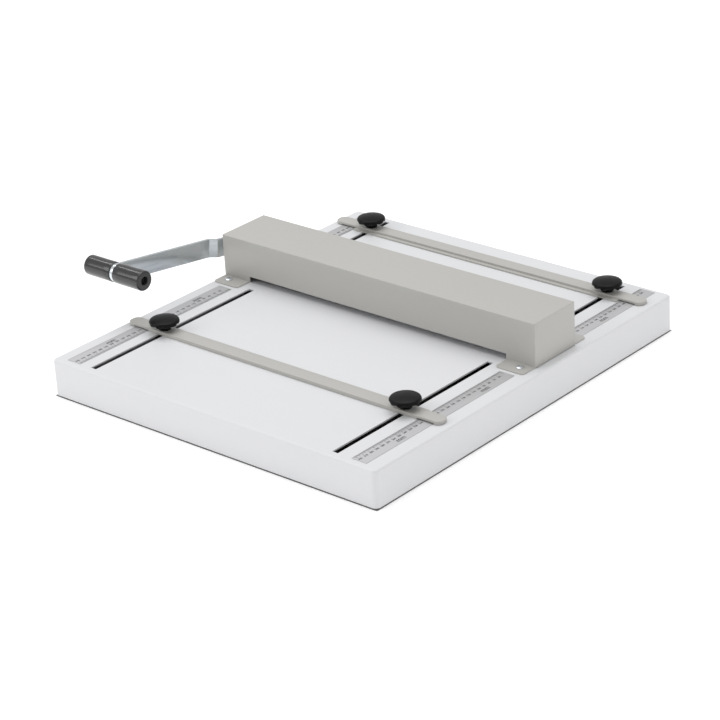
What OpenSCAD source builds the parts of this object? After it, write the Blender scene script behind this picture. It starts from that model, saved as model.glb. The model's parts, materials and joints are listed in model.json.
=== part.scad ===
// Desktop paper creasing machine: a flat table with two sliding stop bars, and a hood that
// covers a creasing blade pressed down by a hand crank.
// X runs along the hood, Y from the front edge to the back edge, Z up from the standing surface.
// The sub-parts are drawn about the middle of the table; place() moves them so that the origin
// lies under the middle of the whole outline, which the crank makes wider on the left.

/* [Table] */
// Width of the table
table_w = 533; // [520:1:620]
// Depth of the table, front edge to back edge
table_d = 594; // [570:1:680]
// Height of the table's top face above the standing surface
table_h = 50.5; // [46:0.5:70]
// Thickness of the folded sheet
sheet_t = 2; // [1:0.1:2.2]
// Radius of the table's upright corners
corner_r = 7; // [5:0.5:10]
// Radius of the table's top edges
edge_r = 3; // [2.5:0.5:4]
// Width of the lip folded inwards along the bottom of the skirt
lip_w = 26; // [24:1:32]
// Height of the lip above the standing surface
foot_h = 2; // [1.5:0.1:4]
// Diameter of each rubber foot
foot_d = 18; // [14:1:20]

/* [Slots and rulers] */
// Distance from the table's left edge to the middle of the left slots
slot_side_left = 64.2; // [62:0.1:80]
// Distance from the table's right edge to the middle of the right slots
slot_side_right = 69.7; // [62:0.1:80]
// Width of a slot
slot_w = 8.8; // [8:0.1:10]
// Distance from the table's front or back edge to a slot's end
slot_inset = 11.5; // [10:0.5:20]
// Distance from the hood to a slot's end
slot_hood_gap = 15.7; // [12:0.1:25]
// Distance from the table's left edge to the left rulers
ruler_side_left = 18.8; // [15:0.1:23]
// Distance from the table's right edge to the right rulers
ruler_side_right = 21.2; // [15:0.1:23]
// Width of a ruler
ruler_w = 22.9; // [18:0.1:24]
// Thickness of a ruler
ruler_t = 0.5; // [0.3:0.1:1]
// Distance from the front edge to a front ruler
ruler_front_inset = 10.3; // [8:0.1:20]
// Distance from the back edge to a rear ruler
ruler_back_inset = 7.4; // [7:0.1:20]
// Distance from a front ruler to the hood flange behind it
ruler_flange_gap_front = 5.6; // [0.5:0.1:20]
// Distance from a rear ruler to the hood flange before it
ruler_flange_gap_rear = 0.8; // [0.5:0.1:20]

/* [Hood] */
// Distance from the table's left edge to the hood
hood_inset_left = 1.5; // [1:0.1:6]
// Distance from the table's right edge to the hood
hood_inset_right = 12.5; // [6:0.1:16]
// Depth of the hood
hood_d = 82; // [81:0.5:92]
// Height of the hood
hood_h = 59.5; // [58:0.5:72]
// Distance from the table's front edge to the hood's middle
hood_from_front = 359.6; // [350:0.1:370]
// Thickness of the hood's sheet
hood_t = 1.5; // [1:0.1:1.8]
// Outer radius of the hood's folds along the top
fold_r = 2.5; // [2.4:0.1:2.9]
// Outer radius of the hood's upright corners
hood_corner_r = 3; // [3:0.1:5]
// Length of the closed part at each end of the feed gap
end_w = 45; // [44:0.5:50]
// Height of the feed gap
gap_h = 8.7; // [7:0.1:10]
// Depth of a foot flange
flange_d = 24.5; // [20:0.5:28]
// Radius of a flange's outer corners
flange_r = 5; // [3:0.5:8]
// Distance from the hood's left end to the screws there
screw_left = 16; // [10:0.5:20]
// Distance from the hood's right end to the screws there
screw_right = 16; // [10:0.5:20]
// Distance from the hood's front or rear face to its screws
screw_out = 10.3; // [8:0.1:13]
// Thread diameter of the hood's screws
hood_screw_d = 5; // [4:0.5:5.5]

/* [Crank] */
// Throw of the eccentrics
throw = 4.5; // [3.5:0.1:4.7]
// Swing of the crank down from where it is drawn, in degrees
swing_down = 9; // [6:1:9]
// Swing of the crank up from where it is drawn, in degrees
swing_up = 80; // [60:1:85]
// Slope of the arm where it is drawn, in degrees
arm_tilt = 8.4; // [6:0.1:12]
// Length of the arm, shaft to grip
arm_l = 217; // [180:1:240]
// Width of the flat bar of the arm
arm_w = 25; // [20:0.5:28]
// Thickness of the flat bar of the arm
arm_t = 4.5; // [3:0.5:8]
// Outward step of the arm
arm_step = 8; // [6:0.5:12]
// Angle of the step, in degrees
step_angle = 40; // [30:1:45]
// Distance from the hood's end to the arm
hub_l = 11.5; // [8:0.5:14]
// Diameter of the shaft
shaft_d = 14; // [12:0.5:14]
// Diameter of the hub
hub_d = 30; // [26:1:32]
// Diameter of the eccentrics
ecc_d = 30; // [28:0.5:30]
// Width of an eccentric
ecc_w = 14; // [10:0.5:15]
// Diameter of a grip
grip_d = 27; // [24:0.5:32]
// Length of each grip half
grip_l = 47; // [40:1:50]
// Diameter of the grip's bolt
grip_bolt_d = 6; // [5:0.5:8]

/* [Press] */
// Thickness of the creasing blade
blade_t = 1.2; // [1:0.1:1.5]
// Height of the creasing blade
blade_h = 20; // [18:0.5:22]
// Depth of the blade's edge below the table at full press
blade_dip = 0.4; // [0.2:0.1:0.8]
// Thickness of the press beam
beam_t = 12; // [10:0.5:12]
// Height of the beam's bottom above the blade's edge
beam_lift = 9; // [8.5:0.5:12]
// Thickness of the strip that clamps the blade
clamp_t = 5; // [4:0.5:6]
// Number of screws in the clamp strip
clamp_screws_n = 7; // [5:1:9]
// Thickness of a yoke
yoke_t = 18; // [17:0.5:19]
// Thickness of a yoke's walls round the eccentric
yoke_wall = 6; // [5:0.1:6.4]
// Thickness of a side frame
frame_t = 10; // [8:0.5:10]
// Diameter of a guide rod
rod_d = 8; // [6:0.5:9]
// Depth of the bed beam below the table sheet
bed_h = 20; // [18:1:26]
// Width of the crease matrix strip
matrix_w = 8; // [7:0.5:12]
// Depth of the crease matrix strip
matrix_t = 6; // [5:0.5:7]
// Width of the groove that the blade presses paper into
groove_w = 2.4; // [2:0.1:3]
// Depth of that groove
groove_t = 1.6; // [1.2:0.1:2]

/* [Stop bars] */
// Distance from the table's left edge to a stop bar's left end
stop_inset_left = 5.1; // [4:0.1:20]
// Distance from the table's right edge to a stop bar's right end
stop_inset_right = 10.9; // [4:0.1:20]
// Width of a stop bar
stop_w = 19; // [18:0.5:24]
// Thickness of a stop bar over the strip
plate_t = 3; // [2.5:0.1:4]
// How far the fence strip under the bar stands out towards the hood
fence_out = 5.5; // [2:0.1:8]
// Thickness of the fence strip
fence_t = 1.8; // [1.7:0.1:3]
// Radius of the bar's corners
stop_r = 8; // [4:0.5:8.5]
// Distance from the front edge to the front stop bar's middle
front_stop_from_front = 139.6; // [120:0.1:250]
// Distance from the back edge to the rear stop bar's middle
rear_stop_from_back = 45.2; // [40:0.1:120]
// Diameter of a clamp knob
knob_d = 39.5; // [36:0.5:42]
// Height of a clamp knob
knob_h = 16.5; // [14:0.5:20]
// Diameter of a knob's neck
neck_d = 17; // [14:0.5:20]
// Number of notches round a knob's skirt
notches = 10; // [6:1:12]
// Diameter of a knob's stud
stud_d = 6; // [5:0.5:7]

/* [Hidden] */
$fn = 64;

// Clearances.
body_gap = 0.3;
run_gap = 0.05;
ecc_gap = 0.35;
fit_gap = 0.2;
cut = 1;

// Places on the table.
half_w = table_w / 2;
half_d = table_d / 2;
slot_left_x = slot_side_left - half_w;
slot_right_x = half_w - slot_side_right;
ruler_left_x = ruler_side_left - half_w;
ruler_right_x = half_w - ruler_side_right - ruler_w;
hood_w = table_w - hood_inset_left - hood_inset_right;
hood_x = (hood_inset_left - hood_inset_right) / 2;
hood_y = hood_from_front - half_d;
hood_front = hood_y - hood_d / 2;
hood_back = hood_y + hood_d / 2;
hood_left = hood_x - hood_w / 2;
hood_right = hood_x + hood_w / 2;
hood_inner_h = hood_h - hood_t;
axis_z = table_h + hood_h / 2;

// How far the crank reaches left of the table's middle.
arm_x = hood_left - hub_l;
arm_outer_x = arm_x - arm_t - arm_step;
arm_inner_x = arm_outer_x + arm_t;
reach_left = -arm_outer_x + body_gap + grip_l;
origin_shift = (reach_left - half_w) / 2;

// Motion: the eccentrics swing evenly above and below the level of the shaft, so that the
// blade's travel follows the crank's angle closely.
half_swing = (swing_up + swing_down) / 2;
travel = 2 * throw * sin(half_swing);
rest_lift = travel * swing_down / (2 * half_swing);
rest_rise = travel - rest_lift;
ecc_angle = swing_down - half_swing;
yoke_z = axis_z - travel / 2 + rest_lift;
ecc_y_near = throw * cos(half_swing);
yoke_y = hood_y - (throw + ecc_y_near) / 2;
window_h = ecc_d + 2 * ecc_gap;
window_d = ecc_d + throw - ecc_y_near + 2 * ecc_gap;

// Press beam, blade and clamp strip, front to back.
frame_front = hood_front + hood_t + body_gap;
frame_back = hood_back - hood_t - body_gap;
groove_wall = 2;
beam_y = frame_front + groove_wall + run_gap;
blade_y = beam_y + beam_t;
clamp_y = blade_y + blade_t;
tip_z = table_h - blade_dip + rest_lift;
beam_z = tip_z + beam_lift;
beam_top_gap = 5;
beam_h = table_h + hood_inner_h - beam_top_gap - rest_rise - beam_z;
clamp_lift = 6;
clamp_z = tip_z + clamp_lift;
clamp_h = tip_z + blade_h - clamp_z;
clamp_screw_z = clamp_z + clamp_h / 2;
gap_w = hood_w - 2 * end_w;
blade_end_gap = 1.5;
blade_l = gap_w - 2 * blade_end_gap;

// Yokes and side frames, outwards from the feed gap.
yoke_end_gap = 3.5;
yoke_frame_gap = 4;
top_bar_t = 6;
top_bar_d = 18;
top_bar_gap = 3;
yoke_x = gap_w / 2 + yoke_end_gap;
frame_x = yoke_x + yoke_t + yoke_frame_gap;
frame_h = hood_inner_h - top_bar_t - top_bar_gap;
top_bar_y = frame_back - top_bar_d;
tongue = 5;
yoke_h = window_h + 2 * yoke_wall;
yoke_back = yoke_y + window_d / 2 + yoke_wall;
rod_y = top_bar_y + top_bar_d / 2;
rod_x = yoke_x + yoke_t / 2;
lug_h = 16;
lug_drop = 6;
lug_z = axis_z - lug_drop;
guide_bush_wall = 2;
guide_bush_d = rod_d + 2 * guide_bush_wall;

// Shaft supports.
bush_wall = 3;
bush_d = shaft_d + 2 * bush_wall;
bush_flange_w = 2;
bush_flange_d = bush_d + 2 * bush_flange_w;
bush_flange_t = 1.5;
collar_d = 24;
collar_l = 5;

// Bed under the table.
bed_z = table_h - sheet_t - bed_h;
bed_overhang = 3;
bed_l = 2 * (frame_x + frame_t + bed_overhang);
bed_inset = 2;
matrix_y = blade_y + blade_t / 2;
matrix_overhang = 1.5;
matrix_l = gap_w + 2 * matrix_overhang;
matrix_floor = 1;
frame_screw_d = 6;
frame_screw_inset = 21;
frame_screw_y = hood_d / 2 - frame_screw_inset;
matrix_screw_d = 4;
matrix_screws_n = 5;
bed_head_h = 7;
rod_bite = 15;
frame_screw_bite = 11;
bar_screw_d = 4;
bar_screw_bite = 8;
clamp_screw_d = 4;
clamp_screw_bite = 8;
yoke_screw_d = 5;
yoke_screw_bite = 4;
yoke_screw_inset = 9;
yoke_head_h = 5;

// Stop bars.
plate_z = table_h + body_gap + fence_t;
knob_z = plate_z + plate_t + body_gap;
stop_l = table_w - stop_inset_left - stop_inset_right;
stop_x = (stop_inset_left - stop_inset_right) / 2;
ruler_side_clear = 1.5;
fence_screw_d = 3;
fence_screw_gap = 30;
fence_screw_cover = 1;
fence_sink_h = 1.6;
nut_w = 20;
nut_t = 5;
nut_key_l = 14;
front_stop_y = front_stop_from_front - half_d;
rear_stop_y = half_d - rear_stop_from_back;
stud_below = 9;
stud_in_knob = 11;

// Colours.
white_paint = [0.93, 0.93, 0.94];
grey_paint = [0.72, 0.71, 0.68];
steel = [0.66, 0.67, 0.69];
dark_steel = [0.42, 0.43, 0.45];
zinc = [0.72, 0.75, 0.77];
bronze = [0.72, 0.56, 0.33];
black = [0.09, 0.09, 0.1];

module place() {
    translate([origin_shift, 0, 0])
        children();
}

// A point of the hood, left or right of its middle.
module at_hood(x, y, z) {
    translate([hood_x + x, y, z])
        children();
}

// The four corners of a rectangle.
module at_corners(x, y) {
    for (sx = [-1, 1])
        for (sy = [-1, 1])
            translate([sx * x, sy * y, 0])
                children();
}

// Rectangle with round corners.
module round_rect(w, d, r) {
    square([w - 2 * r, d], center = true);
    square([w, d - 2 * r], center = true);
    at_corners(w / 2 - r, d / 2 - r)
        circle(r);
}

// Upright outline with two round top corners.
module arch(w, h, r) {
    translate([-w / 2, 0])
        square([w, h - r]);
    translate([r - w / 2, 0])
        square([w - 2 * r, h]);
    for (side = [-1, 1])
        translate([side * (w / 2 - r), h - r])
            circle(r);
}

// Box with upright corners of radius rc and top edges of radius re, standing on Z = 0.
module soft_box(w, d, h, rc, re) {
    rotate([90, 0, 90])
        linear_extrude(w - 2 * rc, center = true)
            arch(d, h, re);
    rotate([90, 0, 0])
        linear_extrude(d - 2 * rc, center = true)
            arch(w, h, re);
    at_corners(w / 2 - rc, d / 2 - rc)
        rotate_extrude()
            intersection() {
                arch(2 * rc, h, re);
                square([rc, h]);
            }
}

// Cylinder along X, from x to x + l.
module round_bar(x, d, l) {
    translate([x, 0, 0])
        rotate([0, 90, 0])
            cylinder(h = l, d = d);
}

// Ring along Z.
module ring(d, bore, h) {
    difference() {
        cylinder(h = h, d = d);
        translate([0, 0, -cut])
            cylinder(h = h + 2 * cut, d = bore);
    }
}

// Pan-head screw with a cross recess, head up, its seat at Z = 0.
module pan_screw(d, l) {
    head_d = 2.1 * d;
    head_h = 0.5 * d;
    recess = 0.6 * head_d;
    difference() {
        union() {
            translate([0, 0, -l])
                cylinder(h = l, d = d);
            intersection() {
                cylinder(h = head_h, d = head_d);
                translate([0, 0, head_h - head_d])
                    sphere(d = 2 * head_d);
            }
        }
        for (turn = [0, 90])
            rotate([0, 0, turn])
                translate([-recess / 2, -head_d / 16, head_h * 0.45])
                    cube([recess, head_d / 8, head_h]);
    }
}

// Socket-head screw, head up, its seat at Z = 0.
module socket_screw(d, l, head_h) {
    head_d = 1.65 * d;
    difference() {
        union() {
            translate([0, 0, -l])
                cylinder(h = l, d = d);
            cylinder(h = head_h, d = head_d);
        }
        translate([0, 0, head_h / 2])
            cylinder(h = head_h, d = d, $fn = 6);
    }
}

// The middle lines of the left and right slots.
module at_slots() {
    for (x = [slot_left_x, slot_right_x])
        translate([x, 0, 0])
            children();
}

// Slots, left and right, from y0 to y1.
module slot_pair(y0, y1) {
    at_slots()
        translate([-slot_w / 2, y0, table_h - sheet_t - cut])
            cube([slot_w, y1 - y0, sheet_t + 2 * cut]);
}

// Places of the hood's screws, on the table's top face.
module at_hood_screws() {
    for (x = [hood_left + screw_left, hood_right - screw_right])
        for (side = [-1, 1])
            translate([x, hood_y + side * (hood_d / 2 + screw_out), table_h])
                children();
}

// Places of the screws that hold the side frames, on the bed's underside.
module at_frame_screws() {
    for (side = [-1, 1])
        for (end = [-1, 1])
            at_hood(side * (frame_x + frame_t / 2), hood_y + end * frame_screw_y, bed_z)
                children();
}

// Places of the screws that hold the matrix, on the bed's underside.
module at_matrix_screws() {
    step = matrix_l / matrix_screws_n;
    for (i = [0 : matrix_screws_n - 1])
        at_hood((i + 0.5) * step - matrix_l / 2, matrix_y, bed_z)
            children();
}

// Places of the rods, at Z = 0.
module at_rods() {
    for (side = [-1, 1])
        at_hood(side * rod_x, rod_y, 0)
            children();
}

module at_feet() {
    inset = sheet_t + lip_w / 2;
    at_corners(half_w - inset, half_d - inset)
        children();
}

foot_stem_d = 7;

module base_table() {
    skirt_h = table_h - foot_h;
    color(white_paint)
        difference() {
            translate([0, 0, foot_h])
                soft_box(table_w, table_d, skirt_h, corner_r, edge_r);
            translate([0, 0, foot_h + sheet_t])
                soft_box(table_w - 2 * sheet_t, table_d - 2 * sheet_t, skirt_h - 2 * sheet_t,
                         corner_r - sheet_t, edge_r - sheet_t);
            translate([0, 0, foot_h - cut])
                linear_extrude(sheet_t + 2 * cut)
                    round_rect(table_w - 2 * lip_w, table_d - 2 * lip_w, corner_r);
            slot_pair(slot_inset - half_d, hood_front - slot_hood_gap);
            slot_pair(hood_back + slot_hood_gap, half_d - slot_inset);
            at_hood(0, matrix_y, table_h)
                cube([matrix_l + 2 * fit_gap, matrix_w + 2 * fit_gap, 4 * sheet_t],
                     center = true);
            at_hood_screws()
                cylinder(h = 4 * sheet_t, d = hood_screw_d, center = true);
            at_frame_screws()
                cylinder(h = 2 * bed_h, d = frame_screw_d + 2 * fit_gap);
            at_rods()
                cylinder(h = 2 * table_h, d = rod_d + 2 * fit_gap);
            at_feet()
                cylinder(h = foot_h + 2 * sheet_t, d = foot_stem_d);
        }
}

rib_w = 22;
rib_h = 16;
rib_slot_gap = 60;
rib_x = slot_right_x - slot_w / 2 - rib_slot_gap - rib_w;

// One stiffener angle under the table sheet.
module rib(x, y0, y1) {
    translate([x, y0, table_h - sheet_t - rib_h])
        difference() {
            cube([rib_w, y1 - y0, rib_h]);
            translate([sheet_t, -cut, -cut])
                cube([rib_w, y1 - y0 + 2 * cut, rib_h - sheet_t + cut]);
        }
}

module table_ribs() {
    rib_gap = 6;
    front_from = edge_r + body_gap - half_d;
    front_to = hood_front - rib_gap;
    back_from = hood_back + rib_gap;
    back_to = half_d - edge_r - body_gap;
    color(white_paint)
        for (side = [0, 1])
            mirror([side, 0, 0]) {
                rib(rib_x, front_from, front_to);
                rib(rib_x, back_from, back_to);
            }
}

module rubber_feet() {
    barb_d = foot_stem_d + 3;
    barb_h = 3;
    color(black)
        at_feet() {
            cylinder(h = foot_h, d = foot_d);
            cylinder(h = foot_h + sheet_t, d = foot_stem_d);
            translate([0, 0, foot_h + sheet_t])
                cylinder(h = barb_h, d1 = barb_d, d2 = foot_stem_d);
        }
}

// A ruler with its left edge at x, from y0 to y1.
module ruler(x, y0, y1) {
    translate([x + ruler_w / 2, (y0 + y1) / 2, table_h])
        color(steel)
            linear_extrude(ruler_t)
                round_rect(ruler_w, y1 - y0, 1);
}

module ruler_front_left() {
    ruler(ruler_left_x, ruler_front_inset - half_d,
          hood_front - flange_d - ruler_flange_gap_front);
}

module ruler_front_right() {
    ruler(ruler_right_x, ruler_front_inset - half_d,
          hood_front - flange_d - ruler_flange_gap_front);
}

module ruler_rear_left() {
    ruler(ruler_left_x, hood_back + flange_d + ruler_flange_gap_rear,
          half_d - ruler_back_inset);
}

module ruler_rear_right() {
    ruler(ruler_right_x, hood_back + flange_d + ruler_flange_gap_rear,
          half_d - ruler_back_inset);
}

flange_relief = 1;

// One foot flange, running out from the hood's face along +Y.
module flange() {
    w = end_w - 2 * flange_relief;
    linear_extrude(hood_t)
        union() {
            translate([-w / 2, -hood_t])
                square([w, flange_d + hood_t - flange_r]);
            translate([flange_r - w / 2, -hood_t])
                square([w - 2 * flange_r, flange_d + hood_t]);
            for (side = [-1, 1])
                translate([side * (w / 2 - flange_r), flange_d - flange_r])
                    circle(flange_r);
        }
}

module hood() {
    hub_hole_d = hub_d + 4;
    color(grey_paint)
        difference() {
            union() {
                at_hood(0, hood_y, table_h)
                    difference() {
                        soft_box(hood_w, hood_d, hood_h, hood_corner_r, fold_r);
                        translate([0, 0, -cut])
                            soft_box(hood_w - 2 * hood_t, hood_d - 2 * hood_t,
                                     hood_inner_h + cut, hood_corner_r - hood_t,
                                     fold_r - hood_t);
                        translate([-gap_w / 2, -hood_d, -cut])
                            cube([gap_w, 2 * hood_d, gap_h + cut]);
                    }
                for (side = [-1, 1])
                    at_hood(side * (hood_w - end_w) / 2, 0, table_h) {
                        translate([0, hood_back, 0])
                            flange();
                        translate([0, hood_front, 0])
                            mirror([0, 1, 0])
                                flange();
                    }
            }
            at_hood_screws()
                translate([0, 0, -cut])
                    cylinder(h = hood_t + 2 * cut, d = hood_screw_d + fit_gap);
            translate([hood_left - cut, hood_y, axis_z])
                round_bar(0, hub_hole_d, hood_t + 2 * cut);
        }
}

hood_nut_h = 3.2;
thread_spare = 1.8;

module hood_screws() {
    color(steel)
        at_hood_screws()
            translate([0, 0, hood_t])
                pan_screw(hood_screw_d, hood_t + sheet_t + hood_nut_h + thread_spare);
}

module hood_nuts() {
    color(steel)
        at_hood_screws()
            translate([0, 0, -sheet_t - hood_nut_h])
                difference() {
                    cylinder(h = hood_nut_h, d = 2 * hood_screw_d, $fn = 6);
                    translate([0, 0, -cut])
                        cylinder(h = hood_nut_h + 2 * cut, d = hood_screw_d);
                }
}

module bed_beam() {
    bed_front = hood_front + bed_inset;
    bed_d = hood_d - 2 * bed_inset;
    color(dark_steel)
        difference() {
            at_hood(-bed_l / 2, bed_front, bed_z)
                cube([bed_l, bed_d, bed_h]);
            at_hood(-matrix_l / 2 - fit_gap, matrix_y - matrix_w / 2 - fit_gap,
                    table_h - matrix_t)
                cube([matrix_l + 2 * fit_gap, matrix_w + 2 * fit_gap, matrix_t]);
            at_frame_screws() {
                cylinder(h = 3 * bed_h, d = frame_screw_d + 2 * fit_gap, center = true);
                cylinder(h = 2 * bed_head_h, d = 2 * frame_screw_d, center = true);
            }
            at_matrix_screws() {
                cylinder(h = 3 * bed_h, d = matrix_screw_d + 2 * fit_gap, center = true);
                cylinder(h = 2 * bed_head_h, d = 2 * matrix_screw_d, center = true);
            }
            at_rods()
                translate([0, 0, table_h - rod_bite])
                    cylinder(h = rod_bite, d = rod_d);
        }
}

module crease_matrix() {
    color(steel)
        difference() {
            at_hood(-matrix_l / 2, matrix_y - matrix_w / 2, table_h - matrix_t)
                cube([matrix_l, matrix_w, matrix_t]);
            at_hood(0, matrix_y, table_h)
                cube([2 * matrix_l, groove_w, 2 * groove_t], center = true);
            at_matrix_screws()
                cylinder(h = table_h - groove_t - matrix_floor - bed_z, d = matrix_screw_d);
        }
}

module matrix_screws() {
    color(dark_steel)
        at_matrix_screws()
            translate([0, 0, bed_head_h])
                mirror([0, 0, 1])
                    socket_screw(matrix_screw_d,
                                 table_h - groove_t - matrix_floor - bed_z - bed_head_h,
                                 matrix_screw_d);
}

// Side frame, its inner face at X = 0 and its thickness along +X.
module side_frame() {
    difference() {
        translate([0, frame_front, table_h])
            cube([frame_t, frame_back - frame_front, frame_h]);
        translate([-cut, beam_y - run_gap, table_h - cut])
            cube([tongue + body_gap + cut, beam_t + 2 * run_gap, hood_h]);
        translate([-cut, hood_y, axis_z])
            round_bar(0, bush_d, frame_t + 2 * cut);
        for (end = [-1, 1])
            translate([frame_t / 2, hood_y + end * frame_screw_y, table_h - cut])
                cylinder(h = frame_screw_bite + 1 + cut, d = frame_screw_d);
        translate([frame_t / 2, rod_y, table_h + frame_h - bar_screw_bite - 1])
            cylinder(h = bar_screw_bite + 2, d = bar_screw_d);
    }
}

module side_frame_left() {
    color(dark_steel)
        at_hood(-frame_x, 0, 0)
            mirror([1, 0, 0])
                side_frame();
}

module side_frame_right() {
    color(dark_steel)
        at_hood(frame_x, 0, 0)
            side_frame();
}

module frame_screws() {
    color(steel)
        at_frame_screws()
            translate([0, 0, bed_head_h])
                mirror([0, 0, 1])
                    socket_screw(frame_screw_d,
                                 bed_h + sheet_t + frame_screw_bite - bed_head_h,
                                 frame_screw_d);
}

module top_bar() {
    bar_z = table_h + frame_h;
    bar_l = 2 * (frame_x + frame_t);
    color(dark_steel)
        difference() {
            at_hood(-bar_l / 2, top_bar_y, bar_z)
                cube([bar_l, top_bar_d, top_bar_t]);
            at_rods()
                cylinder(h = 2 * bar_z, d = rod_d);
            for (side = [-1, 1])
                at_hood(side * (frame_x + frame_t / 2), rod_y, bar_z - cut)
                    cylinder(h = top_bar_t + 2 * cut, d = bar_screw_d + fit_gap);
        }
}

module top_bar_screws() {
    color(steel)
        for (side = [-1, 1])
            at_hood(side * (frame_x + frame_t / 2), rod_y, table_h + frame_h + top_bar_t)
                pan_screw(bar_screw_d, top_bar_t + bar_screw_bite);
}

module shaft_bushes() {
    color(bronze)
        for (side = [-1, 1])
            at_hood(side * frame_x, hood_y, axis_z)
                rotate([0, side * 90, 0])
                    difference() {
                        union() {
                            cylinder(h = frame_t, d = bush_d);
                            translate([0, 0, frame_t])
                                cylinder(h = bush_flange_t, d = bush_flange_d);
                        }
                        translate([0, 0, -cut])
                            cylinder(h = 2 * frame_t, d = shaft_d + 2 * run_gap);
                    }
}

module guide_rods() {
    rod_from = table_h - rod_bite;
    color(steel)
        at_rods()
            translate([0, 0, rod_from])
                cylinder(h = table_h + frame_h + top_bar_t - rod_from, d = rod_d);
}

// Open coil of round wire about Z, from Z = 0 to Z = h.
module coil(mean_d, wire_d, h, turns) {
    sides = 6;
    per_turn = 14;
    steps = turns * per_turn;
    climb = (h - wire_d) / steps;
    points = [
        for (i = [0 : steps])
            for (j = [0 : sides - 1])
                let (
                    turn = 360 * i / per_turn,
                    out = mean_d / 2 + wire_d / 2 * cos(360 * j / sides),
                    up = wire_d / 2 * (1 + sin(360 * j / sides)) + climb * i
                )
                    [out * cos(turn), out * sin(turn), up]
    ];
    walls = [
        for (i = [0 : steps - 1])
            for (j = [0 : sides - 1])
                let (
                    a = i * sides + j,
                    b = i * sides + (j + 1) % sides
                )
                    each [[a, b, b + sides], [a, b + sides, a + sides]]
    ];
    first = [for (j = [sides - 1 : -1 : 0]) j];
    last = [for (j = [0 : sides - 1]) steps * sides + j];
    polyhedron(points, concat(walls, [first], [last]));
}

module return_springs() {
    spring_wire = 1.4;
    spring_z = table_h + body_gap / 2;
    color(steel)
        at_rods()
            translate([0, 0, spring_z])
                coil(rod_d + 4, spring_wire, lug_z - body_gap / 2 - spring_z, 6);
}

module press_beam() {
    beam_l = 2 * (frame_x + tongue);
    color(dark_steel)
        difference() {
            at_hood(-beam_l / 2, beam_y, beam_z)
                cube([beam_l, beam_t, beam_h]);
            at_yoke_screws() {
                cylinder(h = 3 * beam_t, d = yoke_screw_d + fit_gap, center = true);
                translate([0, 0, beam_t - yoke_head_h])
                    cylinder(h = yoke_head_h + cut, d = 1.8 * yoke_screw_d);
            }
            at_clamp_screws()
                translate([0, 0, -clamp_screw_bite - 1])
                    cylinder(h = clamp_screw_bite + 1 + cut, d = clamp_screw_d);
        }
}

// Places of the screws that hold the blade, on the beam's rear face, Z pointing backwards.
module at_clamp_screws() {
    step = blade_l / clamp_screws_n;
    for (i = [0 : clamp_screws_n - 1])
        at_hood((i + 0.5) * step - blade_l / 2, blade_y, clamp_screw_z)
            rotate([-90, 0, 0])
                children();
}

// Places of the screws that hold the yokes, on the beam's rear face, Z pointing forwards.
module at_yoke_screws() {
    for (side = [-1, 1])
        for (up = [-1, 1])
            at_hood(side * rod_x, blade_y, yoke_z + up * (beam_h / 2 - yoke_screw_inset))
                rotate([90, 0, 0])
                    children();
}

module crease_blade() {
    edge_half = 0.2;
    color(steel)
        difference() {
            at_hood(0, blade_y, tip_z)
                rotate([90, 0, 90])
                    linear_extrude(blade_l, center = true)
                        polygon([
                            [0, blade_t / 2], [blade_t / 2 - edge_half, 0],
                            [blade_t / 2 + edge_half, 0],
                            [blade_t, blade_t / 2], [blade_t, blade_h], [0, blade_h]
                        ]);
            at_clamp_screws()
                cylinder(h = 3 * blade_t, d = clamp_screw_d + fit_gap, center = true);
        }
}

module blade_clamp() {
    color(steel)
        difference() {
            at_hood(-blade_l / 2, clamp_y, clamp_z)
                cube([blade_l, clamp_t, clamp_h]);
            at_clamp_screws()
                cylinder(h = 3 * clamp_t, d = clamp_screw_d + fit_gap, center = true);
        }
}

module clamp_screws() {
    grip = blade_t + clamp_t;
    color(dark_steel)
        at_clamp_screws()
            translate([0, 0, grip])
                pan_screw(clamp_screw_d, grip + clamp_screw_bite);
}

// Yoke block, its inner face at X = 0 and its thickness along +X.
module yoke() {
    difference() {
        union() {
            translate([0, blade_y, yoke_z - yoke_h / 2])
                cube([yoke_t, yoke_back - blade_y, yoke_h]);
            translate([0, blade_y, lug_z])
                cube([yoke_t, frame_back - blade_y, lug_h]);
        }
        translate([-cut, yoke_y - window_d / 2, yoke_z - window_h / 2])
            cube([yoke_t + 2 * cut, window_d, window_h]);
        translate([rod_x - yoke_x, rod_y, lug_z - cut])
            cylinder(h = lug_h + 2 * cut, d = guide_bush_d);
        for (up = [-1, 1])
            translate([rod_x - yoke_x, blade_y - cut, yoke_z + up * (beam_h / 2 - yoke_screw_inset)])
                rotate([-90, 0, 0])
                    cylinder(h = yoke_screw_bite + cut, d = yoke_screw_d);
    }
}

module yoke_left() {
    color(steel)
        at_hood(-yoke_x, 0, 0)
            mirror([1, 0, 0])
                yoke();
}

module yoke_right() {
    color(steel)
        at_hood(yoke_x, 0, 0)
            yoke();
}

module yoke_screws() {
    color(dark_steel)
        at_yoke_screws()
            translate([0, 0, beam_t - yoke_head_h])
                socket_screw(yoke_screw_d, beam_t - yoke_head_h + yoke_screw_bite,
                             yoke_head_h - 0.2);
}

module guide_bushes() {
    color(bronze)
        at_rods()
            translate([0, 0, lug_z])
                ring(guide_bush_d, rod_d + 2 * run_gap, lug_h);
}

// Shaft frame: X along the shaft, turned so that -Y points along the arm.
module at_crank() {
    translate([0, hood_y, axis_z])
        rotate([-arm_tilt, 0, 0])
            children();
}

// Eccentric frame: turned so that -Y points along the eccentric's throw.
module at_eccentric() {
    translate([0, hood_y, axis_z])
        rotate([-ecc_angle, 0, 0])
            children();
}

pin_d = 4;
shaft_screw_d = 8;
shaft_screw_bite = 20;
hub_screw_x = (arm_x + hood_left) / 2;
hub_screw_from = shaft_d / 2 - 1;
hub_screw_to = hub_d / 2 - 1;
collar_x = hood_x + frame_x + frame_t + bush_flange_t + body_gap;

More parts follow.
